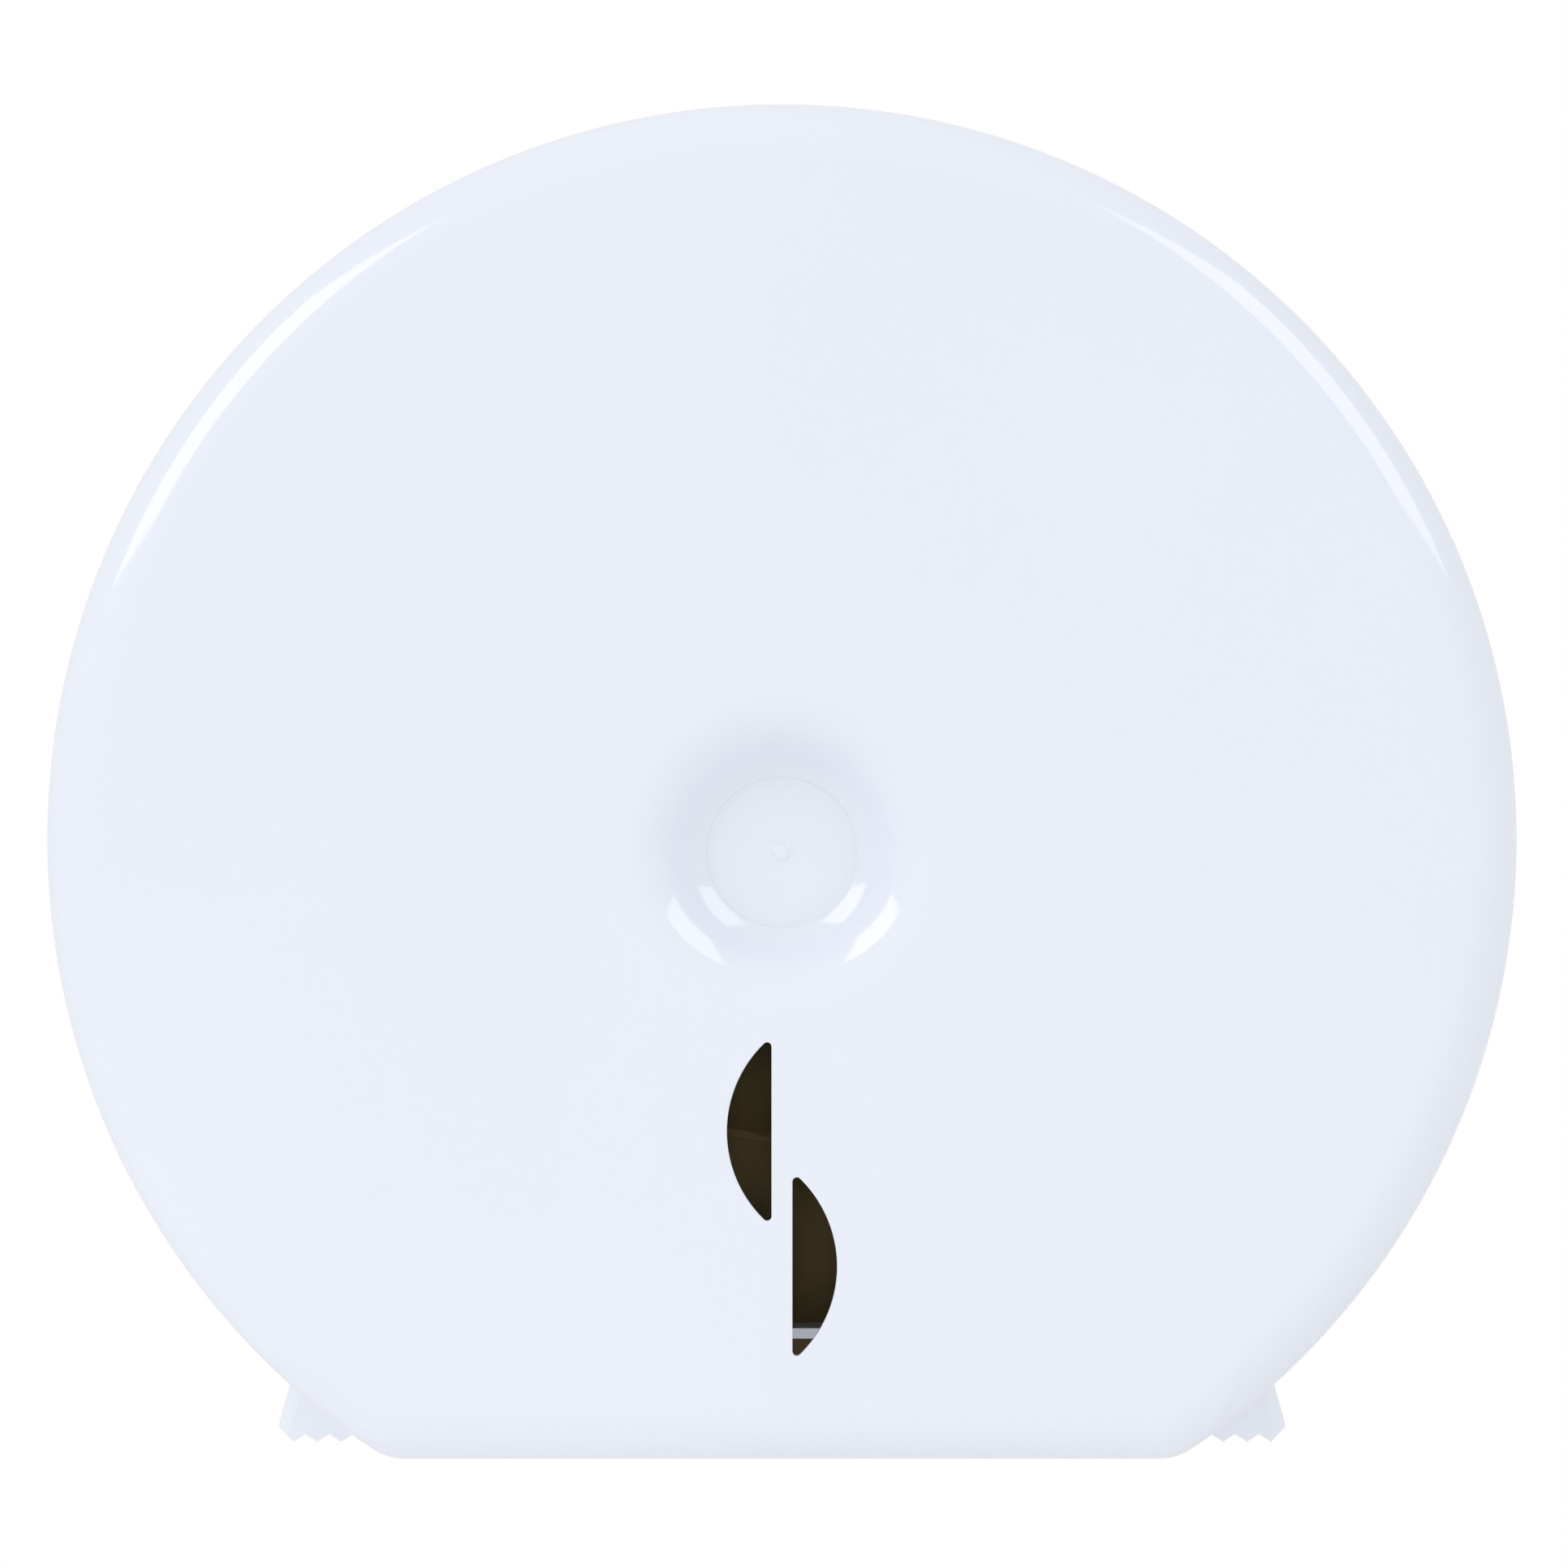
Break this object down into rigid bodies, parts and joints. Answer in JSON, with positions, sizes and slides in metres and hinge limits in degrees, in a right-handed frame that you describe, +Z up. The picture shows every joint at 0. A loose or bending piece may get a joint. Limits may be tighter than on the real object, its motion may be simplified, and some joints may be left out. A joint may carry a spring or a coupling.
{
  "type": "jumbo toilet roll dispenser",
  "caption": "Wall-mounted drum dispenser for a jumbo paper roll: drop-down cover, free-turning core sleeve, tear corners and a cam lock on top.",
  "frame": {"origin": "on the wall plane, at the centre of the round housing and of the four wall screw holes", "axes": "+X to the right seen from the front, +Y into the wall, +Z up; the front face looks along -Y"},
  "size_m": [0.27, 0.125, 0.2553],
  "materials": {
    "cover_plastic": "white gloss ABS",
    "frame_plastic": "white ABS",
    "base_plastic": "brown-black moulded ABS",
    "axle_plastic": "grey glass-filled nylon",
    "sleeve_plastic": "pale grey acetal",
    "screw_steel": "zinc plated",
    "spring_steel": "rolled strip",
    "lock_metal": "satin chrome on zinc"
  },
  "bodies": {
    "base": {"back_plate": "base_plastic", "outlet_frame": "frame_plastic", "outlet_screws": "screw_steel", "axle": "axle_plastic", "axle_screws": "screw_steel", "drag_spring": "spring_steel", "axle_washer": "screw_steel", "axle_end_screw": "screw_steel", "catch_bracket": "spring_steel", "catch_screws": "screw_steel", "hinge_pin_left": "screw_steel", "hinge_pin_right": "screw_steel"},
    "sleeve": {"core_sleeve": "sleeve_plastic", "sleeve_cap": "sleeve_plastic"},
    "cover_shell": {"cover": "cover_plastic", "lock_body": "lock_metal", "lock_nut": "screw_steel"},
    "lock": {"key_barrel": "lock_metal", "lock_cam": "spring_steel", "cam_screw": "screw_steel"}
  },
  "joints": [
    {"name": "cover_hinge", "type": "hinge", "parent": "base", "child": "cover_shell", "pos_m": [0, -0.027, -0.11], "axis": [1, 0, 0], "range_deg": [0, 100]},
    {"name": "sleeve_spin", "type": "hinge", "parent": "base", "child": "sleeve", "pos_m": [0, -0.06, -0.0024], "axis": [0, -1, 0], "continuous": true},
    {"name": "lock_turn", "type": "hinge", "parent": "cover_shell", "child": "lock", "pos_m": [0, -0.0445, 0.1354], "axis": [0, 0, -1], "range_deg": [0, 90]}
  ]
}
